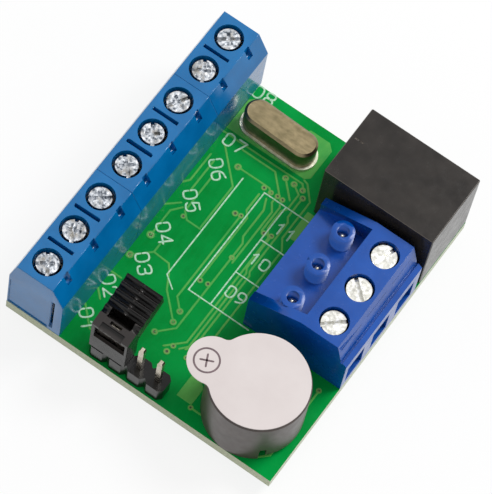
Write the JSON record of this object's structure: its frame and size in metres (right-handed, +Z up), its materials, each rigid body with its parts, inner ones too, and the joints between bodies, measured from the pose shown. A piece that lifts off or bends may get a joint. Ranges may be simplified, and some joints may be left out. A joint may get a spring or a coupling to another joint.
{
  "type": "access controller module",
  "caption": "Bare circuit board module with wire terminals along two edges, a relay, a buzzer, a crystal and a pin header with a jumper.",
  "frame": {"origin": "middle of the overall box, at the ends of the solder tails that the module rests on", "axes": "+Z up out of the component side, +Y along the signal terminals, +X from the signal terminals to the relay"},
  "size_m": [0.0366, 0.0408, 0.0151],
  "materials": {
    "board": "gloss",
    "signal_blue": "semi-matt",
    "relay_block_blue": "semi-matt",
    "tinned_metal": "satin",
    "plated_screw": "bright plated",
    "relay_plastic": "satin",
    "base_plastic": "satin",
    "copper_wire": "enamelled",
    "soft_iron": "satin",
    "contact_bronze": "satin",
    "buzzer_plastic": "satin",
    "seal_paper": "satin",
    "ferrite": "matt",
    "crystal_steel": "bright",
    "quartz": "clear",
    "header_black": "matt",
    "chip_black": "matt",
    "chip_ceramic": "matt",
    "solder": "bright"
  },
  "bodies": {
    "module": {"board": "board", "signal_housing_front": "signal_blue", "signal_housing_middle": "signal_blue", "signal_housing_rear": "signal_blue", "signal_contacts": "tinned_metal", "relay_terminal_housing": "relay_block_blue", "relay_terminal_contacts": "tinned_metal", "relay_cover": "relay_plastic", "relay_base": "base_plastic", "relay_bobbin": "base_plastic", "relay_winding": "copper_wire", "relay_core": "soft_iron", "relay_yoke": "soft_iron", "relay_fixed_contacts": "contact_bronze", "relay_pins": "tinned_metal", "buzzer_case": "buzzer_plastic", "buzzer_base": "base_plastic", "buzzer_pins": "tinned_metal", "buzzer_yoke": "soft_iron", "buzzer_magnet": "ferrite", "buzzer_coil": "copper_wire", "buzzer_diaphragm": "soft_iron", "buzzer_seal": "seal_paper", "crystal_can": "crystal_steel", "crystal_base": "crystal_steel", "crystal_leads": "tinned_metal", "crystal_blank": "quartz", "header_body": "header_black", "header_pins": "tinned_metal", "controller_chip": "chip_black", "component_leads": "tinned_metal", "small_packages": "chip_black", "chip_passives": "chip_ceramic", "solder_joints": "solder"},
    "signal_leaf_1": {"signal_leaf_1": "tinned_metal"},
    "signal_screw_1": {"signal_screw_1": "plated_screw"},
    "signal_leaf_2": {"signal_leaf_2": "tinned_metal"},
    "signal_screw_2": {"signal_screw_2": "plated_screw"},
    "signal_leaf_3": {"signal_leaf_3": "tinned_metal"},
    "signal_screw_3": {"signal_screw_3": "plated_screw"},
    "signal_leaf_4": {"signal_leaf_4": "tinned_metal"},
    "signal_screw_4": {"signal_screw_4": "plated_screw"},
    "signal_leaf_5": {"signal_leaf_5": "tinned_metal"},
    "signal_screw_5": {"signal_screw_5": "plated_screw"},
    "signal_leaf_6": {"signal_leaf_6": "tinned_metal"},
    "signal_screw_6": {"signal_screw_6": "plated_screw"},
    "signal_leaf_7": {"signal_leaf_7": "tinned_metal"},
    "signal_screw_7": {"signal_screw_7": "plated_screw"},
    "signal_leaf_8": {"signal_leaf_8": "tinned_metal"},
    "signal_screw_8": {"signal_screw_8": "plated_screw"},
    "relay_cage_1": {"relay_cage_1": "tinned_metal"},
    "relay_terminal_screw_1": {"relay_terminal_screw_1": "plated_screw"},
    "relay_cage_2": {"relay_cage_2": "tinned_metal"},
    "relay_terminal_screw_2": {"relay_terminal_screw_2": "plated_screw"},
    "relay_cage_3": {"relay_cage_3": "tinned_metal"},
    "relay_terminal_screw_3": {"relay_terminal_screw_3": "plated_screw"},
    "relay_flap": {"relay_armature": "soft_iron", "relay_contact_spring": "contact_bronze"},
    "jumper": {"jumper_cap": "header_black", "jumper_contact": "contact_bronze"}
  },
  "joints": [
    {"name": "signal_clamp_1", "type": "slide", "parent": "module", "child": "signal_leaf_1", "axis": [0, 0, -1], "range_m": [0, 0.0024]},
    {"name": "signal_screw_turn_1", "type": "hinge", "parent": "signal_leaf_1", "child": "signal_screw_1", "pos_m": [-0.01505, -0.01791, 0.0124], "axis": [0, 0, -1], "range_deg": [0, 1728]},
    {"name": "signal_clamp_2", "type": "slide", "parent": "module", "child": "signal_leaf_2", "axis": [0, 0, -1], "range_m": [0, 0.0024]},
    {"name": "signal_screw_turn_2", "type": "hinge", "parent": "signal_leaf_2", "child": "signal_screw_2", "pos_m": [-0.01505, -0.01282, 0.0124], "axis": [0, 0, -1], "range_deg": [0, 1728]},
    {"name": "signal_clamp_3", "type": "slide", "parent": "module", "child": "signal_leaf_3", "axis": [0, 0, -1], "range_m": [0, 0.0024]},
    {"name": "signal_screw_turn_3", "type": "hinge", "parent": "signal_leaf_3", "child": "signal_screw_3", "pos_m": [-0.01505, -0.00775, 0.0124], "axis": [0, 0, -1], "range_deg": [0, 1728]},
    {"name": "signal_clamp_4", "type": "slide", "parent": "module", "child": "signal_leaf_4", "axis": [0, 0, -1], "range_m": [0, 0.0024]},
    {"name": "signal_screw_turn_4", "type": "hinge", "parent": "signal_leaf_4", "child": "signal_screw_4", "pos_m": [-0.01505, -0.00266, 0.0124], "axis": [0, 0, -1], "range_deg": [0, 1728]},
    {"name": "signal_clamp_5", "type": "slide", "parent": "module", "child": "signal_leaf_5", "axis": [0, 0, -1], "range_m": [0, 0.0024]},
    {"name": "signal_screw_turn_5", "type": "hinge", "parent": "signal_leaf_5", "child": "signal_screw_5", "pos_m": [-0.01505, 0.00242, 0.0124], "axis": [0, 0, -1], "range_deg": [0, 1728]},
    {"name": "signal_clamp_6", "type": "slide", "parent": "module", "child": "signal_leaf_6", "axis": [0, 0, -1], "range_m": [0, 0.0024]},
    {"name": "signal_screw_turn_6", "type": "hinge", "parent": "signal_leaf_6", "child": "signal_screw_6", "pos_m": [-0.01505, 0.00749, 0.0124], "axis": [0, 0, -1], "range_deg": [0, 1728]},
    {"name": "signal_clamp_7", "type": "slide", "parent": "module", "child": "signal_leaf_7", "axis": [0, 0, -1], "range_m": [0, 0.0024]},
    {"name": "signal_screw_turn_7", "type": "hinge", "parent": "signal_leaf_7", "child": "signal_screw_7", "pos_m": [-0.01505, 0.01257, 0.0124], "axis": [0, 0, -1], "range_deg": [0, 1728]},
    {"name": "signal_clamp_8", "type": "slide", "parent": "module", "child": "signal_leaf_8", "axis": [0, 0, -1], "range_m": [0, 0.0024]},
    {"name": "signal_screw_turn_8", "type": "hinge", "parent": "signal_leaf_8", "child": "signal_screw_8", "pos_m": [-0.01505, 0.01766, 0.0124], "axis": [0, 0, -1], "range_deg": [0, 1728]},
    {"name": "relay_screw_turn_1", "type": "hinge", "parent": "module", "child": "relay_terminal_screw_1", "pos_m": [0.01455, -0.00398, 0.0118], "axis": [0, 0, -1], "range_deg": [0, 1728]},
    {"name": "relay_clamp_1", "type": "slide", "parent": "module", "child": "relay_cage_1", "axis": [0, 0, 1], "range_m": [0, 0.0024]},
    {"name": "relay_screw_turn_2", "type": "hinge", "parent": "module", "child": "relay_terminal_screw_2", "pos_m": [0.01455, 0.00111, 0.0118], "axis": [0, 0, -1], "range_deg": [0, 1728]},
    {"name": "relay_clamp_2", "type": "slide", "parent": "module", "child": "relay_cage_2", "axis": [0, 0, 1], "range_m": [0, 0.0024]},
    {"name": "relay_screw_turn_3", "type": "hinge", "parent": "module", "child": "relay_terminal_screw_3", "pos_m": [0.01455, 0.00619, 0.0118], "axis": [0, 0, -1], "range_deg": [0, 1728]},
    {"name": "relay_clamp_3", "type": "slide", "parent": "module", "child": "relay_cage_3", "axis": [0, 0, 1], "range_m": [0, 0.0024]},
    {"name": "relay_armature_pull", "type": "hinge", "parent": "module", "child": "relay_flap", "pos_m": [0.01345, 0.0149, 0.013], "axis": [0, -1, 0], "range_deg": [0, 4], "stiffness_Nm_per_rad": 0.0005, "springref_deg": -5.73},
    {"name": "jumper_pull", "type": "slide", "parent": "module", "child": "jumper", "axis": [0, 0, 1], "range_m": [0, 0.0055]}
  ],
  "couplings": [
    {"joint": "signal_screw_turn_1", "follows": "signal_clamp_1", "rad_per_m": 12566},
    {"joint": "signal_screw_turn_2", "follows": "signal_clamp_2", "rad_per_m": 12566},
    {"joint": "signal_screw_turn_3", "follows": "signal_clamp_3", "rad_per_m": 12566},
    {"joint": "signal_screw_turn_4", "follows": "signal_clamp_4", "rad_per_m": 12566},
    {"joint": "signal_screw_turn_5", "follows": "signal_clamp_5", "rad_per_m": 12566},
    {"joint": "signal_screw_turn_6", "follows": "signal_clamp_6", "rad_per_m": 12566},
    {"joint": "signal_screw_turn_7", "follows": "signal_clamp_7", "rad_per_m": 12566},
    {"joint": "signal_screw_turn_8", "follows": "signal_clamp_8", "rad_per_m": 12566},
    {"joint": "relay_screw_turn_1", "follows": "relay_clamp_1", "rad_per_m": 12566},
    {"joint": "relay_screw_turn_2", "follows": "relay_clamp_2", "rad_per_m": 12566},
    {"joint": "relay_screw_turn_3", "follows": "relay_clamp_3", "rad_per_m": 12566}
  ]
}
